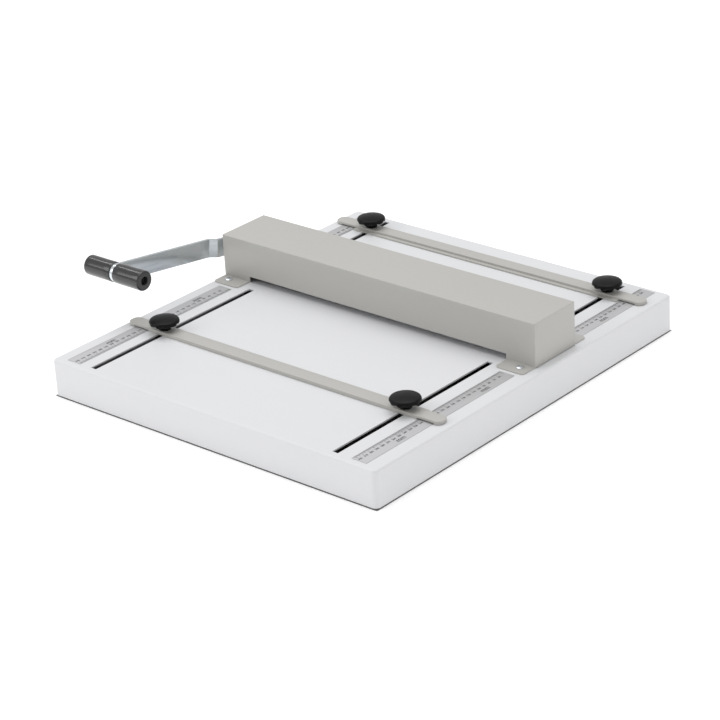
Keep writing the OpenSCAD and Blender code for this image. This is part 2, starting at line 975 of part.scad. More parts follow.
module crank_shaft() {
    color(steel)
        difference() {
            at_crank()
                round_bar(arm_x, shaft_d, collar_x + collar_l - arm_x);
            at_crank()
                round_bar(arm_x - cut, shaft_screw_d, shaft_screw_bite + 2 + cut);
            at_crank()
                translate([hub_screw_x, 0, hub_screw_from])
                    cylinder(h = hub_d, d = pin_d);
            for (side = [-1, 1])
                at_eccentric()
                    translate([hood_x + side * rod_x, 0, 0])
                        cylinder(h = 2 * ecc_d, d = pin_d, center = true);
        }
}

module eccentric(side) {
    x = hood_x + side * rod_x - ecc_w / 2;
    color(dark_steel)
        at_eccentric()
            difference() {
                translate([0, -throw, 0])
                    round_bar(x, ecc_d, ecc_w);
                round_bar(x - cut, shaft_d, ecc_w + 2 * cut);
                translate([x + ecc_w / 2, 0, 0])
                    cylinder(h = 2 * ecc_d, d = pin_d, center = true);
            }
}

module eccentric_left() {
    eccentric(-1);
}

module eccentric_right() {
    eccentric(1);
}

module eccentric_pins() {
    color(steel)
        at_eccentric()
            for (side = [-1, 1])
                translate([hood_x + side * rod_x, 0, 0])
                    cylinder(h = ecc_d - 5, d = pin_d, center = true);
}

module shaft_collar() {
    color(dark_steel)
        at_crank()
            difference() {
                round_bar(collar_x, collar_d, collar_l);
                round_bar(collar_x - cut, shaft_d, collar_l + 2 * cut);
            }
}

module crank_hub() {
    hub_to = hood_x - frame_x - frame_t - bush_flange_t - body_gap;
    color(zinc)
        at_crank()
            difference() {
                round_bar(arm_x, hub_d, hub_to - arm_x);
                round_bar(arm_x - cut, shaft_d, hub_to - arm_x + 2 * cut);
                translate([hub_screw_x, 0, 0])
                    cylinder(h = hub_d, d = pin_d);
            }
}

module hub_set_screw() {
    socket_t = 2.5;
    color(steel)
        at_crank()
            translate([hub_screw_x, 0, hub_screw_from])
                difference() {
                    cylinder(h = hub_screw_to - hub_screw_from, d = pin_d);
                    translate([0, 0, hub_screw_to - hub_screw_from - socket_t])
                        cylinder(h = socket_t + cut, d = pin_d / 2, $fn = 6);
                }
}

// Middle line of the arm's bar seen from above: [distance along the arm, outward offset].
bend_r = 6;
bend_from = 36;
bend_steps = 6;
bend_rise = bend_r * (1 - cos(step_angle));
slope_l = (arm_step - 2 * bend_rise) / sin(step_angle);
slope_end = [
    bend_from + bend_r * sin(step_angle) + slope_l * cos(step_angle),
    bend_rise + slope_l * sin(step_angle)
];
arm_line = concat(
    [[-hub_d, 0, 0]],
    [
        for (i = [0 : bend_steps])
            let (a = step_angle * i / bend_steps)
                [bend_from + bend_r * sin(a), bend_r * (1 - cos(a)), a]
    ],
    [
        for (i = [0 : bend_steps])
            let (a = step_angle * (1 - i / bend_steps))
                [
                    slope_end[0] + bend_r * (sin(step_angle) - sin(a)),
                    slope_end[1] + bend_r * (cos(a) - cos(step_angle)),
                    a
                ]
    ],
    [[arm_l + arm_w, arm_step, 0]]
);

// The bar's outline seen from above, the middle line widened to the bar's thickness.
function arm_edge(side) = [
    for (p = arm_line)
        [p[0] - side * arm_t / 2 * sin(p[2]), p[1] + side * arm_t / 2 * cos(p[2])]
];

module crank_arm() {
    outer = arm_edge(1);
    inner = arm_edge(-1);
    last = len(inner) - 1;
    color(zinc)
        at_crank()
            difference() {
                intersection() {
                    translate([arm_x - arm_t / 2, 0, 0])
                        rotate([0, 0, -90])
                            linear_extrude(2 * hub_d, center = true)
                                polygon([
                                    for (p = outer) [p[0], -p[1]],
                                    for (i = [last : -1 : 0]) [inner[i][0], -inner[i][1]]
                                ]);
                    translate([arm_outer_x - cut, 0, 0])
                        rotate([90, 0, 90])
                            linear_extrude(arm_x - arm_outer_x + 2 * cut)
                                union() {
                                    circle(d = hub_d);
                                    translate([-arm_l, -arm_w / 2])
                                        square([arm_l, arm_w]);
                                    translate([-arm_l, 0])
                                        circle(d = arm_w);
                                }
                }
                round_bar(arm_x - arm_t - cut, shaft_screw_d, arm_t + 2 * cut);
                translate([0, -arm_l, 0])
                    round_bar(arm_outer_x - cut, grip_bolt_d, arm_t + 2 * cut);
            }
}

washer_t = 1.6;
washer_d = 22;

module shaft_washer() {
    x = arm_x - arm_t - washer_t;
    color(zinc)
        at_crank()
            difference() {
                round_bar(x, washer_d, washer_t);
                round_bar(x - cut, shaft_screw_d, washer_t + 2 * cut);
            }
}

module shaft_screw() {
    color(steel)
        at_crank()
            translate([arm_x - arm_t - washer_t, 0, 0])
                rotate([0, -90, 0])
                    socket_screw(shaft_screw_d, arm_t + washer_t + shaft_screw_bite, 6);
}

grip_recess = 12;
grip_recess_d = 1.9 * grip_bolt_d;
grip_head_h = 5.5;

// One grip half along +X from X = 0, with a bore for its bolt and a recess in its far end.
module grip() {
    r = grip_d / 2;
    soft = 2;
    rotate([0, 90, 0])
        difference() {
            rotate_extrude()
                union() {
                    square([r - soft, grip_l]);
                    square([r - 0.5, grip_l - soft]);
                    translate([0, 0.5])
                        square([r, grip_l - soft - 0.5]);
                    translate([r - soft, grip_l - soft])
                        circle(soft);
                }
            translate([0, 0, -cut])
                cylinder(h = grip_l, d = grip_bolt_d + 2 * run_gap);
            translate([0, 0, grip_l - grip_recess])
                cylinder(h = grip_recess + cut, d = grip_recess_d);
        }
}

module grip_inner() {
    color(black)
        at_crank()
            translate([arm_inner_x + body_gap, -arm_l, 0])
                grip();
}

module grip_outer() {
    color(black)
        at_crank()
            translate([arm_outer_x - body_gap, -arm_l, 0])
                mirror([1, 0, 0])
                    grip();
}

module grip_bolt() {
    seat = arm_inner_x + 2 * body_gap + grip_l - grip_recess;
    tip = arm_outer_x - body_gap - grip_l + grip_recess - body_gap - grip_head_h;
    color(steel)
        at_crank()
            translate([seat, -arm_l, 0])
                rotate([0, 90, 0])
                    socket_screw(grip_bolt_d, seat - tip, grip_head_h);
}

module grip_nut() {
    seat = arm_outer_x - body_gap - grip_l + grip_recess - body_gap;
    color(steel)
        at_crank()
            translate([seat, -arm_l, 0])
                rotate([0, -90, 0])
                    difference() {
                        cylinder(h = grip_head_h - 0.5, d = 1.8 * grip_bolt_d, $fn = 6);
                        translate([0, 0, -cut])
                            cylinder(h = grip_head_h + 2 * cut, d = grip_bolt_d);
                    }
}

// Stop bar frame: Y = 0 at the bar's middle, +Y towards the hood.
module at_front_stop() {
    translate([0, front_stop_y, 0])
        children();
}

module at_rear_stop() {
    translate([0, rear_stop_y, 0])
        mirror([0, 1, 0])
            children();
}

module at_fence_screws() {
    for (x = [-1, 0, 1] * (slot_right_x - fence_screw_gap))
        translate([x, 0, table_h + body_gap])
            children();
}

// Holes for the studs, right through the bar.
module stud_holes() {
    at_slots()
        translate([0, 0, table_h])
            cylinder(h = 2 * (plate_z + plate_t - table_h), d = stud_d + 3 * fit_gap);
}

// The bar, with a foot beyond each ruler.
module stop_plate() {
    relief_from = ruler_left_x - ruler_side_clear;
    relief_to = ruler_right_x + ruler_w + ruler_side_clear;
    color(grey_paint)
        difference() {
            translate([stop_x, 0, table_h + body_gap])
                linear_extrude(fence_t + plate_t)
                    round_rect(stop_l, stop_w, stop_r);
            translate([relief_from, -stop_w, table_h])
                cube([relief_to - relief_from, 2 * stop_w, plate_z - table_h]);
            stud_holes();
            at_fence_screws()
                cylinder(h = fence_t + plate_t - fence_screw_cover, d = fence_screw_d);
        }
}

// Strip under the bar, between the rulers.
module stop_fence() {
    strip_from = ruler_left_x + ruler_w + ruler_side_clear;
    strip_to = ruler_right_x - ruler_side_clear;
    color(grey_paint)
        difference() {
            translate([strip_from, -stop_w / 2, table_h + body_gap])
                cube([strip_to - strip_from, stop_w + fence_out, fence_t]);
            stud_holes();
            at_fence_screws() {
                cylinder(h = fence_t + cut, d = fence_screw_d);
                translate([0, 0, -0.01])
                    cylinder(h = fence_sink_h, d1 = 2 * fence_screw_d, d2 = fence_screw_d);
            }
        }
}

module fence_screws() {
    color(steel)
        at_fence_screws()
            union() {
                cylinder(h = fence_t + plate_t - fence_screw_cover, d = fence_screw_d);
                cylinder(h = fence_sink_h - 0.01, d1 = 2 * fence_screw_d - 0.04,
                         d2 = fence_screw_d);
            }
}

// Square nuts under the table, each with a key that slides in its slot.
module clamp_nuts() {
    nut_top = table_h - sheet_t - body_gap;
    color(steel)
        at_slots()
            translate([0, 0, nut_top])
                difference() {
                    union() {
                        translate([-nut_w / 2, -nut_w / 2, -nut_t])
                            cube([nut_w, nut_w, nut_t]);
                        translate([fit_gap - slot_w / 2, -nut_key_l / 2, -cut])
                            cube([slot_w - 2 * fit_gap, nut_key_l, cut + sheet_t]);
                    }
                    translate([0, 0, -nut_t - cut])
                        cylinder(h = 3 * nut_t, d = stud_d + 2 * run_gap);
                }
}

module front_stop_plate() {
    at_front_stop()
        stop_plate();
}

module front_stop_fence() {
    at_front_stop()
        stop_fence();
}

module front_fence_screws() {
    at_front_stop()
        fence_screws();
}

module front_clamp_nuts() {
    at_front_stop()
        clamp_nuts();
}

module rear_stop_plate() {
    at_rear_stop()
        stop_plate();
}

module rear_stop_fence() {
    at_rear_stop()
        stop_fence();
}

module rear_fence_screws() {
    at_rear_stop()
        fence_screws();
}

module rear_clamp_nuts() {
    at_rear_stop()
        clamp_nuts();
}

// Domed clamp knob, standing on Z = 0, its skirt notched from below.
module knob_body() {
    r = knob_d / 2;
    rim_z = knob_h * 0.5;
    rim_h = knob_h * 0.16;
    shoulder_r = 3.5;
    shoulder_end = 75;
    crown_r = r - shoulder_r * (1 - cos(shoulder_end));
    crown_z = rim_z + rim_h + shoulder_r * sin(shoulder_end);
    notch_r = 4;
    difference() {
        rotate_extrude()
            polygon(concat(
                [
                    [0, 0], [neck_d / 2, 0], [r * 0.55, rim_z * 0.6],
                    [r - 1, rim_z], [r, rim_z + 1]
                ],
                [
                    for (a = [0 : 15 : shoulder_end])
                        [r - shoulder_r * (1 - cos(a)), rim_z + rim_h + shoulder_r * sin(a)]
                ],
                [
                    for (k = [0.8, 0.6, 0.4, 0.2, 0])
                        [crown_r * k, crown_z + (knob_h - crown_z) * (1 - k * k)]
                ]
            ));
        for (i = [0 : notches - 1])
            rotate([0, 0, 360 * i / notches])
                translate([r + notch_r * 0.35, 0, -cut])
                    cylinder(h = rim_z + rim_h * 0.55 + cut, r = notch_r);
        translate([0, 0, -cut])
            cylinder(h = stud_in_knob + cut, d = stud_d);
    }
}

module knob(x, y) {
    color(black)
        translate([x, y, knob_z])
            knob_body();
}

module stud(x, y) {
    stud_from = table_h - sheet_t - stud_below;
    color(steel)
        translate([x, y, stud_from])
            cylinder(h = knob_z + stud_in_knob - stud_from, d = stud_d);
}

module knob_front_left() {
    knob(slot_left_x, front_stop_y);
}

module knob_front_right() {
    knob(slot_right_x, front_stop_y);
}

module knob_rear_left() {
    knob(slot_left_x, rear_stop_y);
}

module knob_rear_right() {
    knob(slot_right_x, rear_stop_y);
}

module stud_front_left() {
    stud(slot_left_x, front_stop_y);
}

module stud_front_right() {
    stud(slot_right_x, front_stop_y);
}

module stud_rear_left() {
    stud(slot_left_x, rear_stop_y);
}

module stud_rear_right() {
    stud(slot_right_x, rear_stop_y);
}

place() base_table();
place() table_ribs();
place() rubber_feet();
place() ruler_front_left();
place() ruler_front_right();
place() ruler_rear_left();
place() ruler_rear_right();
place() hood();
place() hood_screws();
place() hood_nuts();
place() bed_beam();
place() crease_matrix();
place() matrix_screws();
place() side_frame_left();
place() side_frame_right();
place() frame_screws();
place() top_bar();
place() top_bar_screws();
place() shaft_bushes();
place() guide_rods();
place() return_springs();
place() press_beam();
place() crease_blade();
place() blade_clamp();
place() clamp_screws();
place() yoke_left();
place() yoke_right();
place() yoke_screws();
place() guide_bushes();
place() crank_shaft();
place() eccentric_left();
place() eccentric_right();
place() eccentric_pins();
place() shaft_collar();
place() crank_hub();
place() hub_set_screw();
place() crank_arm();
place() shaft_washer();
place() shaft_screw();
place() grip_bolt();
place() grip_nut();
place() grip_inner();
place() grip_outer();
place() front_stop_plate();
place() front_stop_fence();
place() front_fence_screws();
place() front_clamp_nuts();
place() rear_stop_plate();
place() rear_stop_fence();
place() rear_fence_screws();
place() rear_clamp_nuts();
place() knob_front_left();
place() knob_front_right();
place() knob_rear_left();
place() knob_rear_right();
place() stud_front_left();
place() stud_front_right();
place() stud_rear_left();
place() stud_rear_right();
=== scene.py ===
import json
import math

import bmesh
import bpy
from mathutils import Matrix, Vector


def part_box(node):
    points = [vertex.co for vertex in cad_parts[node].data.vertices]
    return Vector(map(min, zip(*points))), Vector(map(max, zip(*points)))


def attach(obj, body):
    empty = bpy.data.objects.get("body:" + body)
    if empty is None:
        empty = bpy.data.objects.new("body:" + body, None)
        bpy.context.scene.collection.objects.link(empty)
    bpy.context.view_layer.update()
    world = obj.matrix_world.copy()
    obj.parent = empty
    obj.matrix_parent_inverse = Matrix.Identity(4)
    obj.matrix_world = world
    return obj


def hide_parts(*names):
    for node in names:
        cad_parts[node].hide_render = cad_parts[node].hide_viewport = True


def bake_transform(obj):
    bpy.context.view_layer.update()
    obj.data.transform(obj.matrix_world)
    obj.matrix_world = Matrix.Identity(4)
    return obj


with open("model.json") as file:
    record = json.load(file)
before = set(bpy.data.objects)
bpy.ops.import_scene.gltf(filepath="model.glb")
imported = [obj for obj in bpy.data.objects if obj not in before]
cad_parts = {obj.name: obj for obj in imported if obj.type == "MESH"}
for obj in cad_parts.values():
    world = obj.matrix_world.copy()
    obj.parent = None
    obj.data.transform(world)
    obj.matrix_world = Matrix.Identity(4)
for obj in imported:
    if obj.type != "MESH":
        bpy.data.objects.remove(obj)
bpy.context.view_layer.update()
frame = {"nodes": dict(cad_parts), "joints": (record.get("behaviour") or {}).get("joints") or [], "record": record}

joints = {j["name"]: j for j in frame["joints"]}
MM = 0.001


def link_new(name, data):
    """A new object in the scene."""
    thing = bpy.data.objects.new(name, data)
    bpy.context.scene.collection.objects.link(thing)
    return thing


# ---------------------------------------------------------------- camera

# The photograph's viewpoint, in metres and radians, and its focal length in photograph pixels.
PHOTO_SIZE = 720
CAMERA_PLACE = Vector((1.9931, -2.1954, 1.3861))
CAMERA_YAW = -0.732
CAMERA_PITCH = 0.4391
CAMERA_ROLL = -0.0594
FOCAL_PIXELS = 2539.1
CENTRE_PIXEL = (358.89, 359.83)
SENSOR = 36.0
NEAREST, FARTHEST = 0.05, 60


def make_camera():
    """The photograph's camera, solved from the straight edges of table and hood."""
    forward = Vector((
        math.sin(CAMERA_YAW) * math.cos(CAMERA_PITCH),
        math.cos(CAMERA_YAW) * math.cos(CAMERA_PITCH),
        -math.sin(CAMERA_PITCH),
    ))
    level_right = Vector((math.cos(CAMERA_YAW), -math.sin(CAMERA_YAW), 0))
    level_up = level_right.cross(forward)
    right = math.cos(CAMERA_ROLL) * level_right + math.sin(CAMERA_ROLL) * level_up
    up = math.cos(CAMERA_ROLL) * level_up - math.sin(CAMERA_ROLL) * level_right
    data = bpy.data.cameras.new("camera")
    data.sensor_width = SENSOR
    data.lens = SENSOR * FOCAL_PIXELS / PHOTO_SIZE
    data.shift_x = (PHOTO_SIZE / 2 - CENTRE_PIXEL[0]) / PHOTO_SIZE
    data.shift_y = (CENTRE_PIXEL[1] - PHOTO_SIZE / 2) / PHOTO_SIZE
    data.clip_start = NEAREST
    data.clip_end = FARTHEST
    camera = link_new("camera", data)
    turn = Matrix((right, up, -forward)).transposed()
    camera.matrix_world = Matrix.Translation(CAMERA_PLACE) @ turn.to_4x4()
    bpy.context.scene.camera = camera


# ---------------------------------------------------------------- materials

# Noise keeps mostly between these values.
NOISE_LOW, NOISE_HIGH = 0.3, 0.7


class Shader:
    """A material, with helpers that add its nodes."""

    def __init__(self, name):
        self.material = bpy.data.materials.new(name)
        self.material.use_nodes = True
        self.tree = self.material.node_tree
        self.surface = self.tree.nodes["Principled BSDF"]
        self.coordinates = self.tree.nodes.new("ShaderNodeTexCoord").outputs["Object"]

    def link(self, source, target):
        """Joins one node's output to another one's input."""
        self.tree.links.new(source, target)

    def noise(self, size, detail=2.0, stretch=(1, 1, 1)):
        """Noise with features about that many metres across, drawn out along an axis by stretch."""
        mapping = self.tree.nodes.new("ShaderNodeMapping")
        mapping.inputs["Scale"].default_value = [1 / s for s in stretch]
        self.link(self.coordinates, mapping.inputs["Vector"])
        node = self.tree.nodes.new("ShaderNodeTexNoise")
        node.inputs["Scale"].default_value = 1 / size
        node.inputs["Detail"].default_value = detail
        self.link(mapping.outputs["Vector"], node.inputs["Vector"])
        return node.outputs["Fac"]

    def spread(self, noise, low, high):
        """Maps noise to values from low to high."""
        node = self.tree.nodes.new("ShaderNodeMapRange")
        node.inputs["From Min"].default_value = NOISE_LOW
        node.inputs["From Max"].default_value = NOISE_HIGH
        node.inputs["To Min"].default_value = low
        node.inputs["To Max"].default_value = high
        self.link(noise, node.inputs["Value"])
        return node.outputs["Result"]

    def mix(self, share, first, second):
        """Mixes two colours, or a colour socket and a colour."""
        node = self.tree.nodes.new("ShaderNodeMix")
        node.data_type = "RGBA"
        self.link(share, node.inputs["Factor"])
        for key, colour in (("A", first), ("B", second)):
            socket = [s for s in node.inputs if s.name == key and s.type == "RGBA"][0]
            if isinstance(colour, (tuple, list)):
                socket.default_value = (*colour, 1)
            else:
                self.link(colour, socket)
        return [s for s in node.outputs if s.type == "RGBA"][0]

    def set(self, key, value):
        """Gives an input of the surface one value all over."""
        self.surface.inputs[key].default_value = value

    def colour(self, socket):
        self.link(socket, self.surface.inputs["Base Color"])

    def roughness(self, socket):
        self.link(socket, self.surface.inputs["Roughness"])

    def bump(self, height, depth):
        """Raises the surface by up to depth metres where height is 1."""
        node = self.tree.nodes.new("ShaderNodeBump")
        node.inputs["Strength"].default_value = 1.0
        node.inputs["Distance"].default_value = depth
        self.link(height, node.inputs["Height"])
        before = self.surface.inputs["Normal"]
        if before.is_linked:
            self.link(before.links[0].from_socket, node.inputs["Normal"])
        self.link(node.outputs["Normal"], before)


def shade(colour, factor):
    """The colour, made darker or lighter by a factor."""
    return tuple(min(1.0, c * factor) for c in colour)


def powder_coat(name, colour, roughness, peel_depth):
    """Baked powder paint: a fine orange peel, and hardly any change of tone."""
    cloud_size, gloss_size, peel_size = 120 * MM, 4 * MM, 1.2 * MM
    s = Shader(name)
    s.colour(s.mix(s.noise(cloud_size), shade(colour, 0.985), shade(colour, 1.012)))
    s.roughness(s.spread(s.noise(gloss_size, 3), roughness - 0.04, roughness + 0.05))
    s.set("Specular IOR Level", 0.5)
    s.bump(s.noise(peel_size, 3), peel_depth)
    return s.material


def plated_steel(name, colour, cool, warm, roughness, stretch):
    """Zinc-plated steel: faint bluish and yellowish clouds over fine drawing lines."""
    cool_size, warm_size, line_size, line_depth = 50 * MM, 70 * MM, 0.8 * MM, 0.002 * MM
    s = Shader(name)
    s.set("Metallic", 0.85)
    clouds = s.noise(cool_size, 2, (1, 2.5, 1))
    tinted = s.mix(s.spread(clouds, 0, 1), colour, cool)
    s.colour(s.mix(s.spread(s.noise(warm_size, 1, (1, 2, 1)), 0, 0.4), tinted, warm))
    lines = s.noise(line_size, 3, stretch)
    s.roughness(s.spread(lines, roughness - 0.03, roughness + 0.03))
    s.bump(lines, line_depth)
    return s.material


def machined_metal(name, colour, roughness, stretch):
    """Ground steel, blackened steel or bronze with cutting marks."""
    cloud_size, mark_size, mark_depth = 20 * MM, 0.9 * MM, 0.015 * MM
    s = Shader(name)
    s.set("Metallic", 1.0)
    s.colour(s.mix(s.noise(cloud_size, 3), shade(colour, 0.85), shade(colour, 1.12)))
    marks = s.noise(mark_size, 2, stretch)
    s.roughness(s.spread(marks, roughness - 0.07, roughness + 0.1))
    s.bump(marks, mark_depth)
    return s.material


def ruler_metal(name, colour):
    """Anodised aluminium strip, brushed along its length."""
    brush_size, brush_depth = 0.6 * MM, 0.006 * MM
    s = Shader(name)
    s.set("Metallic", 0.3)
    brushed = s.noise(brush_size, 3, (1, 40, 1))
    s.colour(s.mix(s.spread(brushed, 0, 1), shade(colour, 0.95), shade(colour, 1.05)))
    s.roughness(s.spread(brushed, 0.45, 0.58))
    s.bump(brushed, brush_depth)
    return s.material


def print_ink(name, colour):
    """Matt black print, a little uneven."""
    blotch_size = 3 * MM
    s = Shader(name)
    s.colour(s.mix(s.noise(blotch_size), colour, shade(colour, 1.6)))
    s.set("Roughness", 0.6)
    return s.material


def moulded_plastic(name, colour, roughness, grain_size, grain_depth, coat=0.0, specular=0.5):
    """Moulded plastic: a grain, and tiny changes of tone and gloss."""
    cloud_size, gloss_size = 15 * MM, 6 * MM
    s = Shader(name)
    s.colour(s.mix(s.noise(cloud_size, 3), shade(colour, 0.85), shade(colour, 1.2)))
    s.roughness(s.spread(s.noise(gloss_size, 4), roughness - 0.04, roughness + 0.07))
    s.set("Specular IOR Level", specular)
    s.set("Coat Weight", coat)
    s.set("Coat Roughness", 0.08)
    s.bump(s.noise(grain_size, 2), grain_depth)
    return s.material


def floor_paint(name, colour, glow):
    """Pale studio sweep. A little glow keeps the soft shadows on it pale."""
    cloud_size = 500 * MM
    s = Shader(name)
    s.colour(s.mix(s.noise(cloud_size), colour, shade(colour, 0.99)))
    s.set("Roughness", 0.9)
    s.set("Specular IOR Level", 0.1)
    s.set("Emission Color", (1, 1, 1, 1))
    s.set("Emission Strength", glow)
    return s.material


WHITE_PAINT = (0.70, 0.705, 0.72)
GREY_PAINT = (0.46, 0.452, 0.428)
ZINC, BLUISH_ZINC, YELLOWISH_ZINC = (0.74, 0.775, 0.80), (0.64, 0.71, 0.77), (0.76, 0.76, 0.73)
PEEL_DEPTH = 0.02 * MM
# How far cutting marks and drawing lines are drawn out along X, Y and Z.
ALONG_X, ALONG_Y, EVENLY = (6, 1, 1), (1, 30, 1), (1, 1, 1)
materials = {
    "white_powder_coat": powder_coat("white_powder_coat", WHITE_PAINT, 0.42, PEEL_DEPTH),
    "grey_powder_coat": powder_coat("grey_powder_coat", GREY_PAINT, 0.38, PEEL_DEPTH),
    "ruler_aluminium": ruler_metal("ruler_aluminium", (0.50, 0.50, 0.51)),
    "zinc_plated_steel": plated_steel(
        "zinc_plated_steel", ZINC, BLUISH_ZINC, YELLOWISH_ZINC, 0.20, ALONG_Y),
    "bright_steel": machined_metal("bright_steel", (0.56, 0.57, 0.58), 0.28, ALONG_X),
    "dark_steel": machined_metal("dark_steel", (0.10, 0.10, 0.11), 0.42, ALONG_X),
    "bronze": machined_metal("bronze", (0.50, 0.33, 0.15), 0.35, EVENLY),
    "knob_plastic": moulded_plastic(
        "knob_plastic", (0.003, 0.003, 0.003), 0.33, grain_size=0.7 * MM, grain_depth=0.02 * MM,
        specular=0.15),
    "grip_plastic": moulded_plastic(
        "grip_plastic", (0.022, 0.0225, 0.024), 0.20, grain_size=4 * MM, grain_depth=0.001 * MM,
        coat=0.4),
    "foot_rubber": moulded_plastic(
        "foot_rubber", (0.02, 0.02, 0.02), 0.75, grain_size=1 * MM, grain_depth=0.04 * MM),
}
ink = print_ink("ruler_ink", (0.02, 0.02, 0.022))


def dress_cad_nodes():
    """Every CAD node takes the finish of its slot in the record."""
    slots = {s["node"]: s["material_slot"] for s in frame["record"]["subparts"]}
    for node, thing in frame["nodes"].items():
        thing.data.materials.clear()
        thing.data.materials.append(materials[slots[node]])


# ---------------------------------------------------------------- mesh helpers

SAME_PLACE = 1e-7


def add_piece(name, mesh, body, slot, *replaced, smooth_angle=35, material=None):
    """Puts a mesh in the scene as a piece that rides on a body."""
    mesh.materials.clear()
    mesh.materials.append(material or materials[slot])
    mesh.shade_smooth()
    mesh.set_sharp_from_angle(angle=math.radians(smooth_angle))
    piece = link_new(name, mesh)
    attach(piece, body)
    if replaced:
        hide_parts(*replaced)


def mesh_of(name, make):
    """A mesh that the function make fills through bmesh."""
    work = bmesh.new()
    make(work)
    bmesh.ops.recalc_face_normals(work, faces=work.faces)
    mesh = bpy.data.meshes.new(name)
    work.to_mesh(mesh)
    work.free()
    return mesh


def with_modifiers(name, mesh, modifiers):
    """The mesh with modifiers applied: a list of (type, {setting: value})."""
    thing = link_new(name + "_work", mesh)
    for kind, settings in modifiers:
        modifier = thing.modifiers.new(kind.lower(), kind)
        for key, value in settings.items():
            setattr(modifier, key, value)
    ready = thing.evaluated_get(bpy.context.evaluated_depsgraph_get())
    result = bpy.data.meshes.new_from_object(ready)
    bpy.data.objects.remove(thing)
    result.name = name
    return result


def rounded(name, mesh, width, segments=3, angle=40):
    """The mesh with its edges sharper than angle degrees rounded off."""
    return with_modifiers(name, mesh, [("BEVEL", {
        "width": width, "segments": segments, "limit_method": "ANGLE",
        "angle_limit": math.radians(angle), "harden_normals": False})])


def arc(centre, radius, start, stop, steps):
    """Points on an arc, angles in degrees."""
    turns = [math.radians(start + (stop - start) * i / steps) for i in range(steps + 1)]
    return [(centre[0] + radius * math.cos(t), centre[1] + radius * math.sin(t)) for t in turns]


def round_corners(low, high, radius, steps=8):
    """Outline of a rectangle with round corners, anticlockwise."""
    x0, y0 = low[0] + radius, low[1] + radius
    x1, y1 = high[0] - radius, high[1] - radius
    return (arc((x1, y0), radius, -90, 0, steps) + arc((x1, y1), radius, 0, 90, steps)
            + arc((x0, y1), radius, 90, 180, steps) + arc((x0, y0), radius, 180, 270, steps))


def prism(work, outline, z0, z1):
    """Upright prism on an outline in X and Y."""
    lower = [work.verts.new((x, y, z0)) for x, y in outline]
    upper = [work.verts.new((x, y, z1)) for x, y in outline]
    work.faces.new(list(reversed(lower)))
    work.faces.new(upper)
    for i in range(len(outline)):
        j = (i + 1) % len(outline)
        work.faces.new((lower[i], lower[j], upper[j], upper[i]))


def slab(work, low, high):
    """A box between two corners."""
    x0, y0, z0 = low
    x1, y1, z1 = high
    prism(work, [(x0, y0), (x1, y0), (x1, y1), (x0, y1)], z0, z1)


def lathe(work, profile, steps, place, radius_at=None):
    """Turns a profile of (radius, height) about Z, then moves it by the matrix place.
    radius_at(radius, height, angle) may change a radius."""
    rings = []
    for radius, height in profile:
        if radius < SAME_PLACE:
            rings.append([work.verts.new(place @ Vector((0, 0, height)))])
            continue
        ring = []
        for i in range(steps):
            angle = 2 * math.pi * i / steps
            r = radius_at(radius, height, angle) if radius_at else radius
            point = Vector((r * math.cos(angle), r * math.sin(angle), height))
            ring.append(work.verts.new(place @ point))
        rings.append(ring)
    for a, b in zip(rings, rings[1:]):
        for i in range(steps):
            j = (i + 1) % steps
            corners = [a[i % len(a)], a[j % len(a)], b[j % len(b)], b[i % len(b)]]
            unique = list(dict.fromkeys(corners))
            if len(unique) > 2:
                work.faces.new(unique)


# ---------------------------------------------------------------- hood

HOOD_SHEET = 1.5 * MM
FLANGE_DEPTH = 24.5 * MM
FLANGE_RELIEF = 1 * MM
FLANGE_CORNER = 5 * MM
END_WIDTH = 45 * MM
FEED_GAP = 8.7 * MM
FOLD_RADIUS = 2.6 * MM
HUB_HOLE = 34 * MM
HUB_HOLE_DEPTH = 8 * MM
END_LIFT = 0.8 * MM
# The flange's fold is tighter than the other folds.
FLANGE_FOLD = 0.55


